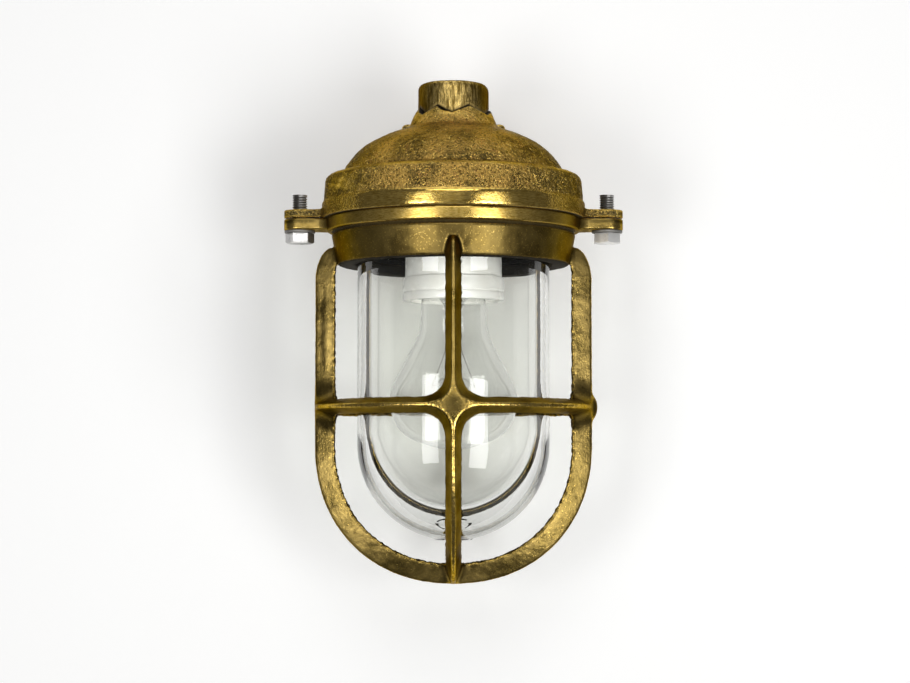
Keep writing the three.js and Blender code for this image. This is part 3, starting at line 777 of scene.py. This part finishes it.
def build_neck_and_dome():
    neck = add_piece("neck_casting", neck_sleeve(), "housing", "worn_brass", "neck_sleeve")
    x, y, z = places_of(neck).T
    # painted shade: the tooth joint and the bore are painted near black
    joint = ease(1.0, 0.3, z - tooth_line(np.arctan2(y, x)))
    set_attribute(neck, "painted_hollow_shade", np.maximum(joint, np.hypot(x, y) < 17) * 0.92)
    # painted shade: the neck darker towards its sides
    set_attribute(neck, "painted_shade", ease(8, 15, np.abs(x)) * 0.85)
    dome = add_piece("dome_casting", dome_cover(), "housing", "cast_brass", "dome_cover",
                     sharp=None)
    x, y, z = places_of(dome).T
    r, angle, aside = np.hypot(x, y), np.arctan2(y, x), np.abs(x)
    flange = ease(198.6, 197.4, z) * ease(60, 64, r)
    ear_edge = ease(69, 72, r)
    uneven = 0.5 * np.sin(x * 0.9 + z * 0.5) * np.sin(z * 1.1 - x * 0.35)
    patch = np.clip(1.0 - ((x + 52) ** 2 / 150 + (z - 204) ** 2 / 26) + uneven, 0, 1) * (y < 0)
    boss = ease(238, 244, z) * 0.75
    fade = 0.62 + 0.38 * np.sin(angle * 5 + z)
    ridge = ease(209.2, 210.6, z) * ease(212.9, 211.9, z)
    ridge *= ease(62, 64.5, r) * (0.45 + 0.3 * np.sin(angle * 9))
    # polish on the flange, a worn patch, the boss and the shoulder ridge; the flange's polish
    # fades towards its sides as painted shade
    set_attribute(dome, "polish_and_side_shade", np.clip(np.maximum.reduce(
        [flange * (1 - ear_edge) * (1 - 0.75 * ease(36, 62, aside)),
         patch * 0.8, boss * fade, ridge]), 0, 1))
    # painted shade: darker at the band's ends, the ears, the dome's sides and its rounded sides
    sides = np.maximum.reduce(
        [ease(34, 58, aside) * (z > BAND_LOW) * (z < BAND_HIGH), ease(69, 73, r),
         ease(46, 60, aside) * (z >= BAND_HIGH) * 0.8, ease(36, 62, aside) * 0.85])
    round_side = ease(0.62, 0.95, np.abs(np.cos(angle))) * (z > BAND_HIGH) * (z < 236)
    set_attribute(dome, "painted_shade", np.maximum(sides * 0.85, round_side * 0.8))
    # painted shade: the dome's inside, the tooth joint and the seam are painted near black
    teeth = np.abs(z - tooth_line(angle) + worn_gap(angle))
    joint = (z < SEAM + 0.5) * ease(FLANGE_R - 0.3, FLANGE_R - 0.9, r) * 0.9
    set_attribute(dome, "painted_hollow_shade", np.maximum.reduce(
        [facing_in(dome, 180, 62) * (z < 246.5), ease(0.9, 0.2, teeth) * (r < 20.5), joint]))
    add_piece("neck_ring_nut", flat_ring("neck_locknut", 15.6, 19, 0.4, 64), "housing",
              "worn_brass", "neck_locknut")
    seal = rounded([(5.5, 233), (12.4, 233), (12.4, 241), (9, 241), (5.5, 238)], 0.6)
    add_piece("cable_seal", turned(seal, 64), "housing", "rubber", "entry_seal")


# ---------------------------------------- guard

def bend(across, drop):
    """Distance from the cage's centre, on a curve a little fuller than a circle."""
    return (np.abs(across) ** BEND_POWER + np.abs(drop) ** BEND_POWER) ** (1 / BEND_POWER)


def guard_casting():
    collar = Outline([
        (COLLAR_BORE_R, 165.2), (59.4, 165.1), (60.2, 165.7), (61.3, 170), (62.4, 175),
        (63.3, 179.6), (63.4, 180.6), (63.1, 181.1), (62.3, 181.3), (62.3, 182.2),
        (63.0, 182.5), (65.4, 182.5), (65.75, 182.9), (66.2, SEAM - 0.5),
        (65.9, SEAM - 0.15), (SEAT_R, SEAM - 0.15), (SEAT_R, 172), (COLLAR_BORE_R, 172)])
    inner = CAGE_R - RIB_DEPTH
    slope = 0.958

    def bar(off, out):
        """Distance from a wedge-shaped bar, broad on its inside and narrow at its ridge, of a
        point that far off its middle and that far out."""
        t = np.clip((out - inner) / RIB_DEPTH, 0, 1.05)
        return (np.abs(off) - (4.15 - 3.25 * t ** 1.15)) * slope

    def field(x, y, z):
        r = np.hypot(x, y)
        drop = np.minimum(z - CAGE_R, 0)
        rise = np.clip((z - SHOULDER_LOW) / SHOULDER_RISE, 0, 1)
        shoulder = SHOULDER_REACH * (1 - np.sqrt(1 - rise * rise * 0.999))
        shell = bend(r, drop) + shoulder
        ribs = smooth_min(bar(x, bend(y, drop) + shoulder), bar(y, bend(x, drop) + shoulder), 5.5)
        bars = smooth_min(ribs, bar(z - BELT_Z, r), 13)
        wall = np.maximum(shell - CAGE_R, inner + rise - shell)
        cage = np.maximum(smooth_max(bars, wall, 0.9), z - 174.5)
        d = smooth_min(cage, collar(r, z), 1.2)
        d = smooth_min(d, ears(x, y, z, 64.2, EAR_FOOT, SEAM - 0.25), 1.0)
        lump = np.sqrt(((x - CAGE_R + 0.8) / 3.6) ** 2 + (y / 2.9) ** 2
                       + ((z - BELT_Z) / 6.6) ** 2)
        d = smooth_min(d, (lump - 1) * 2.9, 1.6)
        bore = np.where(z > 172, SEAT_R, np.where(z > 164, COLLAR_BORE_R, 0))
        return drilled(np.maximum(d, bore - r), x, y)

    def file_marks(p):
        r = hypot(p.x, p.y)
        out = float(bend(r, min(p.z - CAGE_R, 0)))
        on_collar = p.z > 177
        inside = max(0, min(1, (CAGE_R - 8.6 - out) / 1.6)) if p.z < 165 else 0
        ragged = inside * (0.55 * noise.noise(p / 2.2) + 0.35 * noise.noise(p / 0.9))
        scar_x, scar_z = (p.x + 66) / 2.6, (p.z - 131) / 23
        scar = max(0, 1 - scar_x * scar_x - scar_z * scar_z) if p.y < 0 and p.x < 0 else 0
        waves = (0.02 if on_collar else 0.11) * noise.noise(p / 5)
        fine = (0 if on_collar else 0.04) * noise.noise(p / 1.7)
        return ragged + waves + fine + 0.35 * scar
    return roughened(surface_of(field, CAGE_R, -2, SEAM + 2), file_marks)


def build_guard():
    guard = add_piece("guard_frame", guard_casting(), "guard", "guard_brass", "guard_casting",
                      sharp=None)
    x, y, z = places_of(guard).T
    r, aside = np.hypot(x, y), np.abs(x)
    to_plane = np.minimum(aside, np.abs(y))
    out = bend(r, np.minimum(z - CAGE_R, 0))
    rise = np.clip((z - SHOULDER_LOW) / SHOULDER_RISE, 0, 1)
    shoulder = SHOULDER_REACH * (1 - np.sqrt(1 - rise ** 2))
    bars = (z < 150) | ((z < 175) & (to_plane < 4))
    crossing = np.hypot(to_plane, z - BELT_Z)
    ridge = ease(CAGE_R - 0.8, CAGE_R - 0.2, out + shoulder) * bars * (y < 30)
    # painted shade: the front rib's ridge is kept dark above the belt
    front_rib = (aside < 6) * (y < 0) * ease(96, 110, z)
    ridge *= 1 - 0.85 * front_rib
    set_attribute(guard, "ridge", ridge * ease(2, 9, crossing) * 0.85)
    set_attribute(guard, "burr", ease(CAGE_R - 8.8, CAGE_R - 9.6, out) * (z < 164))
    # painted shade: darker at the rib crossings, low on the right, at the ears and on the front
    # rib
    centre = ease(15, 6, crossing) * (out > CAGE_R - 7) * 0.7
    low_right = ease(48, 60, x) * ease(90, 80, z) * 0.45
    at_ears = ease(70, 74, r) * (z > 176) * ease(186, 188, z) * 0.8
    at_ears = np.maximum(at_ears, ease(36, 60, aside) * (z > 176) * (r < 70) * 0.8)
    set_attribute(guard, "painted_shade", np.maximum.reduce(
        [centre, low_right, at_ears, front_rib * (r > 62.8) * 0.45]))
    collar = (r < 63.2) * (z > 165)
    set_attribute(guard, "turned", np.maximum(ease(176, 177, z) * (r < 70), collar))
    machined = ease(181.8, 182.6, z) * ease(62, 64, r) * (r < 68)
    ear_face = ease(70, 73, r) * (z > 180) * (z < 187) * 0.35
    # polish on the machined ring and the ear faces; the ring's polish fades towards its sides as
    # painted shade
    set_attribute(guard, "polish_and_side_shade", np.maximum(
        machined * (0.82 - 0.68 * ease(34, 60, aside)), ear_face))
    # painted shade: the collar's underside, the groove below its ring and the seam are painted
    # near black
    groove = (z > 181.0) * (z < 182.6) * ease(63.5, 63.0, r) * 0.75
    joint = (z > SEAM - 0.5) * ease(65.5, 64.8, r) * 0.9
    set_attribute(guard, "painted_hollow_shade", np.maximum.reduce(
        [facing_in(guard, 164.5, 59.9), groove, joint]))


# ---------------------------------------- jar and gaskets

def glass_jar():
    low, high = span_of("glass_jar")
    flange_low, inner_r, inner_low = 175.1, 43.7, 36.0
    outer_r, edge_r = 50, size_of("glass_jar")[0] / 2
    outside = [*arc(0, low + outer_r, outer_r, -90, -70, 26)[:-1],
               *arc(0, low + outer_r, outer_r, -70, 0, 34),
               (outer_r, 110), (outer_r, 150), (outer_r, 173), (outer_r + 0.4, 174.4),
               (outer_r + 1.6, flange_low), (edge_r - 0.8, flange_low),
               (edge_r, flange_low + 0.8), (edge_r, high - 0.8), (edge_r - 0.8, high),
               (inner_r + 1.2, high), (inner_r, high - 1.2), (inner_r, 150), (inner_r, 110)]
    inside = arc(0, inner_low + inner_r, inner_r, 0, -90, 36)

    def pressed(p):
        r = hypot(p.x, p.y)
        wall_inside = r < 46.5 and p.z > 34
        soft = 0.04 * noise.noise(Vector((p.x / 20, p.y / 20, p.z / 120)))
        if wall_inside:
            return soft + 0.05 * noise.noise(p / 26)
        mark = 0.10 * max(0, 1 - (p.z - low) / 9) * noise.noise(p / 3.6)
        if p.z < low + 1.6:
            broken = noise.noise(Vector((atan2(p.y, p.x) * 1.4, 3, 0))) > -0.05
            mark += 0.45 * np.exp(-((r - 9.4) / 0.55) ** 2) * broken
        return (0.5 * soft if p.z < flange_low else 0) + mark
    return roughened(turned([*outside, *inside], 160), pressed)


def build_jar():
    jar = add_piece("glass_dome", glass_jar(), "guard", "jar_glass", "glass_jar")
    z = places_of(jar)[:, 2]
    set_attribute(jar, "thick", ease(72, 30, z) * 0.55 + ease(30, 16, z) * 0.45)
    for node in ("lower_gasket", "upper_gasket"):
        add_piece(f"{node}_ring", flat_ring(node, 52.1, 58, 0.9, 120, steps=4), "guard",
                  "rubber", node)


# ---------------------------------------- lampholder

def build_lampholder():
    mouth, split = span_of("lampholder_sleeve")
    ring_low, ring_high = span_of("skirt_ring")
    holder_r = size_of("lampholder_sleeve")[0] / 2
    ring_r = size_of("skirt_ring")[0] / 2
    cap = rounded([
        (NIPPLE_HOLE_R, 207), (10, 207), (12, 204), (20, 200, 3), (holder_r, 193, 2),
        (holder_r, 189), (holder_r - 0.6, 188.6, 0.2), (holder_r - 0.6, 187.6, 0.2),
        (holder_r, 187.2), (holder_r, split + 0.3), (22.3, split + 0.3), (22.3, 192), (18, 197),
        (11, 200), (NIPPLE_HOLE_R, 200.5)])
    add_piece("holder_cap", turned(cap, 96), "housing", "white_ceramic", "lampholder_cap")
    sleeve = rounded([
        (18.8, mouth), (22.2, mouth), (22.2, ring_high + 0.1), (holder_r, ring_high + 0.1, 0.2),
        (holder_r, split), (20.9, split), (20.9, 176), (14.7, 176), (14.7, 155, 2)])
    add_piece("holder_body", turned(sleeve, 96), "housing", "white_ceramic", "lampholder_sleeve")
    skirt = rounded([
        (22.5, ring_low), (ring_r, ring_low, 1.0), (ring_r, ring_low + 4),
        (ring_r - 0.35, ring_low + 4.3, 0.1), (ring_r - 0.35, ring_low + 5.1, 0.1),
        (ring_r, ring_low + 5.4, 0.1), (ring_r, ring_high, 0.5), (22.5, ring_high)])
    add_piece("holder_skirt", turned(skirt, 128), "housing", "white_ceramic", "skirt_ring")
    add_piece("holder_thread",
              threaded(15.0, 1.0, *span_of("screw_shell"), LAMP_PITCH, wall=-0.6, sides=72),
              "housing", "contact_brass", "screw_shell")


def hexagon(flats, low, high, hole, centre, turn=0.0, flat_top=False):
    """A hexagonal nut or head whose corners are cut by a turned chamfer."""
    half = flats / 2
    round_r = half * 0.97

    def profile_at(angle):
        reach = half / cos(((angle - turn) % (pi / 3)) - pi / 6)
        cut = max(0, reach - half * 1.02) * 0.58
        top = [(reach, high - cut - 0.1), (round_r, high - 0.02), (round_r - 0.3, high)]
        if flat_top:
            top = [(reach, high - 0.2), (reach - 0.1, high - 0.05), (reach - 0.3, high)]
        return [(hole, low), (round_r - 0.3, low), (round_r, low + 0.02),
                (reach, low + cut + 0.1), *top, (hole, high)]
    return ring(profile_at, 120, centre)


def build_holder_fixings():
    low, high = span_of("holder_plate")
    plate_r = size_of("holder_plate")[0] / 2
    plate = rounded([(NIPPLE_HOLE_R, low), (plate_r, low), (plate_r, high), (14, high),
                     (13, high - 0.4), (12, high), (NIPPLE_HOLE_R, high)], 0.4)
    add_piece("holder_disc", turned(plate, 96), "housing", "zinc_steel", "holder_plate")
    for node, flats, hole in (("nipple_nut_upper", 14, NIPPLE_HOLE_R),
                              ("nipple_nut_lower", 14, NIPPLE_HOLE_R),
                              ("plate_nut_left", 7, SCREW_HOLE_R),
                              ("plate_nut_right", 7, SCREW_HOLE_R)):
        x, y, _ = frame_centre(node)
        nut = hexagon(flats, *span_of(node), hole, (x, y))
        add_piece(f"{node}_piece", nut, "housing", "zinc_steel", node)
    add_piece("nipple_thread",
              threaded(4.9, 0.5, *span_of("nipple_tube"), 1.0, wall=1.1, sides=36),
              "housing", "zinc_steel", "nipple_tube")
    for side in ("left", "right"):
        node = f"plate_screw_{side}"
        x, y, _ = frame_centre(node)
        add_piece(f"dome_screw_{side}", slotted_screw(node, x, y), "housing", "worn_brass", node)


def slotted_screw(node, x, y):
    """A round-head screw from above, with a slot across its head."""
    (low, top), seat = span_of(node), PAD_TOP + 0.3
    shank = threaded(2.0, 0.25, low, seat + 0.4, 0.7, sides=24, centre=(x, y))

    def profile_at(angle):
        head = [(0, seat), (3.0, seat), (3.3, seat + 0.3)]
        head += [(3.3 * cos(a), seat + 1.0 + (top - seat - 1.0) * sin(a))
                 for a in np.linspace(0.05, pi / 2, 12)]
        cut = []
        for r, z in head:
            in_slot = abs(r * sin(angle - 0.6)) < 0.45 and z > top - 1.3
            cut.append((r, top - 1.3 if in_slot else z))
        return cut
    return joined(shank, ring(profile_at, 96, (x, y)))


# ---------------------------------------- bulb

BULB_CURVE = [(14.2, 150.9), (16.2, 148.3), (17.0, 144.5), (17.2, 138), (17.9, 131.5),
              (20.6, 124.6), (25.2, 115.5), (29.6, 107), (32.2, 101), (33, 95.5), (32.6, 90),
              (31, 84.5), (27.6, 78.4), (22.5, 73), (16, 69), (8.5, 66.6), (0, 65.8)]


def build_bulb():
    outside = [(12.2, 158), (12.2, 151.6), (12.7, 151.2), *curved(BULB_CURVE, 5)]
    wall = 0.6
    inside = []
    for i, (r, z) in enumerate(outside):
        r0, z0 = outside[max(i - 1, 0)]
        r1, z1 = outside[min(i + 1, len(outside) - 1)]
        length = hypot(r1 - r0, z1 - z0)
        inside.append((max(r + wall * (z1 - z0) / length, 0), z - wall * (r1 - r0) / length))
    inside[-1] = (0, outside[-1][1] + wall)
    add_piece("bulb_glass", turned([*outside, *inside[::-1]], 128), "bulb", "bulb_glass",
              "bulb_envelope")
    cap_low, cap_high = span_of("bulb_cap")
    shell = threaded(13.2, 0.95, cap_low + 0.4, cap_high - 2.2, LAMP_PITCH, wall=-0.45,
                     sides=72)
    lid = turned(rounded([(12.7, cap_high - 2.4), (13.1, cap_high - 2.2), (11, cap_high),
                          (9.6, cap_high), (9.6, cap_high - 0.6), (10.8, cap_high - 0.6)],
                         0.2), 72)
    add_piece("bulb_screw_cap", joined(shell, lid), "bulb", "bulb_cap_metal", "bulb_cap")
    insulator = [(0, 169.5), *rounded([(8.6, 169.5), (9.2, 171.3), (5.4, 173.4)], 0.5),
                 (0, 173.4)]
    add_piece("bulb_black_glass", turned(insulator, 64), "bulb_travel", "bulb_insulation",
              "bulb_insulator")
    tip = [(0, 173.7), (4.5, 173.7), *arc(0, 172.2, 4.7, 22, 35, 2),
           *[(4.2 * cos(a), 174.1 + 0.8 * sin(a)) for a in np.linspace(0.2, pi / 2, 8)]]
    add_piece("bulb_tip", turned(tip, 48), "bulb_travel", "tin", "bulb_contact")
    stem = [(0, 118), *curved([(1.5, 118.1), (2.4, 119.5), (2.3, 127), (2.6, 134), (4.5, 143),
                               (9, 150), (10.6, 157)], 5),
            (9.6, 157), *curved([(8, 151), (4, 147), (0, 145)], 4)]
    add_piece("bulb_glass_stem", turned(stem, 64), "bulb", "bulb_glass", "bulb_stem")
    for side, sign in (("left", -1), ("right", 1)):
        path = curved([(sign * 2.9, 0, 131), (sign * 3.2, 0, 124), (sign * 7, 0, 113),
                       (sign * 10.9, 0, 103), (sign * 11.2, 0.4, 101.6)], 8)
        add_piece(f"lead_{side}", tube(path, 0.32), "bulb", "filament_metal",
                  f"lead_wire_{side}")
    turns, reach = 46, 10.9
    coil = []
    for t in np.linspace(0, 1, turns * 9):
        x = -reach + 2 * reach * t
        sag = 102.4 + 3.5 * (1 - cos(x / reach * pi) ** 2)
        coil.append((x, 1.2 + 0.38 * cos(tau * turns * t), sag + 0.38 * sin(tau * turns * t)))
    add_piece("filament_coil", tube(coil, 0.09, 6), "bulb", "filament_metal", "filament")


# ---------------------------------------- bolts

def build_bolts():
    head_low, tip = span_of("clamp_bolt_left")
    head_high = head_low + BOLT_HEAD
    for side, x, turn in (("left", -BOLT_X, 6), ("right", BOLT_X, 30)):
        head = hexagon(HEAD_FLATS, head_low, head_high, 0, (x, 0), radians(turn), flat_top=True)
        face = turned([(0, head_high - 0.5), (5.7, head_high - 0.5), (5.7, head_high + 0.15),
                       (0, head_high + 0.15)], 48, (x, 0))
        shank = threaded(3.9, 0.65, head_high - 0.5, tip, BOLT_PITCH, sides=64, centre=(x, 0))
        bolt = add_piece(f"hex_bolt_{side}", joined(head, face, shank), f"bolt_{side}",
                         "bolt_steel", f"clamp_bolt_{side}")
        px, py, pz = places_of(bolt).T
        shank_r = np.hypot(px - x, py)
        # grime and painted shade: the shank darker overall, more in its thread roots and most on
        # its left flank
        shank_grime_and_shade = ease(3.85, 3.4, shank_r) * 0.45 + 0.5
        shank_grime_and_shade = np.maximum(shank_grime_and_shade, ease(0.8, -0.6, px - x))
        # painted shade: on the left bolt the head's facets that face right, and on both bolts the
        # facets that face left a little
        away = np.degrees(np.arctan2(px - x, -py))
        stains_and_shade = ease(38, 44, np.where(side == "left", away, 0)) * 0.85
        stains_and_shade = np.maximum(stains_and_shade, ease(30, 50, -away) * 0.25)
        set_attribute(bolt, "grime_and_shade", np.where(pz > head_high + 0.3, shank_grime_and_shade, stains_and_shade))
        node = f"bolt_washer_{side}"
        add_piece(f"flat_washer_{side}",
                  flat_ring(node, BOLT_HOLE_R, WASHER_R, 0.25, 72, (x, 0)),
                  f"washer_{side}", "bolt_steel", node, look="shadowed_washer_steel")


def dress_hidden_nodes():
    looks = {"terminal_block": "white_ceramic", "terminal_screw_left": "contact_brass",
             "terminal_screw_right": "contact_brass", "centre_contact": "contact_brass"}
    for node, look in looks.items():
        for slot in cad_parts[node].material_slots:
            slot.material = LOOKS[look]


# ---------------------------------------- studio

CAMERA_FAR = 1100  # from the lantern's axis, towards the front
CAMERA_HEIGHT = 66
CAMERA_RIGHT = 0.8
CAMERA_PITCH = 3.1
LENS = 83.7
SENSOR = 36


def build_camera():
    camera = put("camera", bpy.data.cameras.new("camera"))
    camera.data.lens = LENS
    camera.data.sensor_width = SENSOR
    camera.data.clip_start = 0.05
    camera.location = Vector((CAMERA_RIGHT, -CAMERA_FAR, CAMERA_HEIGHT + FOOT)) * MM
    camera.rotation_euler = (radians(90 + CAMERA_PITCH), 0, 0)
    bpy.context.scene.camera = camera


def backdrop_material():
    """White card, seen from its front only, with a painted shadow greying it near the lantern.
    Lamps behind it still reach the lantern.
    """
    m = Material("white_card")
    # painted shadow: the card's colour and glow grey near the lantern, left of its middle
    spread = m.node("Mapping", {"Vector": m.place, "Scale": (6, 0, 7),
                                "Location": (0.27, 0, 0.77)}).outputs[0]
    near = m.node("TexGradient", {0: spread}, gradient_type="SPHERICAL").outputs[1]
    painted_shadow = m.ramp(near, 0, 0.7)
    paper = m.mix(painted_shadow, (0.93, 0.93, 0.925), (0.81, 0.81, 0.805))
    glow = m.mix(painted_shadow, (1.0, 1.0, 0.995), (0.87, 0.87, 0.865))
    card = m.principled(Base_Color=paper, Roughness=0.9, Emission_Color=glow,
                        Emission_Strength=0.165)
    clear = m.node("BsdfTransparent").outputs[0]
    behind = m.node("NewGeometry").outputs["Backfacing"]
    lamp_ray = m.node("LightPath").outputs["Is Shadow Ray"]
    open_to = m.most(behind, lamp_ray)
    return m.finish(m.node("MixShader", {0: open_to, 1: card, 2: clear}).outputs[0])


def build_backdrop():
    back = (CAGE_R + 3) * MM
    half, middle = 0.285, (125 + FOOT) * MM
    mesh = bpy.data.meshes.new("card")
    corners = [(x * half, back, middle + z * half)
               for x, z in ((-1, -1), (1, -1), (1, 1), (-1, 1))]
    mesh.from_pydata(corners, [], [(0, 1, 2, 3)])
    mesh.materials.append(backdrop_material())
    put("card", mesh)


def add_lamp(name, azimuth, elevation, far, width, height, power):
    """A softbox that faces the lantern. Azimuth 0 is in front of it."""
    lamp = bpy.data.lights.new(name, "AREA")
    lamp.shape = "RECTANGLE"
    lamp.size, lamp.size_y = width, height
    lamp.energy = power
    spot = put(name, lamp)
    a, e = radians(azimuth), radians(elevation)
    aim = Vector((0, 0, (CAGE_R + FOOT) * MM))
    away = Vector((sin(a) * cos(e), -cos(a) * cos(e), sin(e)))
    spot.location = aim + away * far
    spot.rotation_euler = away.to_track_quat("Z", "Y").to_euler()


def build_light():
    add_lamp("left_box", -27, -9, 1.2, 0.40, 0.54, 4.6)
    add_lamp("right_box", 30, -12, 1.2, 0.44, 0.66, 6.6)
    add_lamp("high_fill", 0, 29, 1.2, 0.8, 0.6, 3.4)
    add_lamp("ceiling", 0, 80, 1.3, 1.2, 1.2, 4.2)
    world = bpy.data.worlds.new("studio")
    bpy.context.scene.world = world
    world.use_nodes = True
    tree = world.node_tree
    background = tree.nodes["Background"].inputs
    background["Color"].default_value = (1, 1, 1, 1)
    path = tree.nodes.new("ShaderNodeLightPath")
    seen = tree.nodes.new("ShaderNodeMapRange")
    seen.inputs["To Min"].default_value = 0.10
    tree.links.new(path.outputs["Is Camera Ray"], seen.inputs["Value"])
    tree.links.new(seen.outputs["Result"], background["Strength"])
    bpy.context.scene.view_settings.view_transform = "Standard"


build_camera()
build_neck_and_dome()
build_guard()
build_jar()
build_lampholder()
build_holder_fixings()
build_bulb()
build_bolts()
dress_hidden_nodes()
build_backdrop()
build_light()
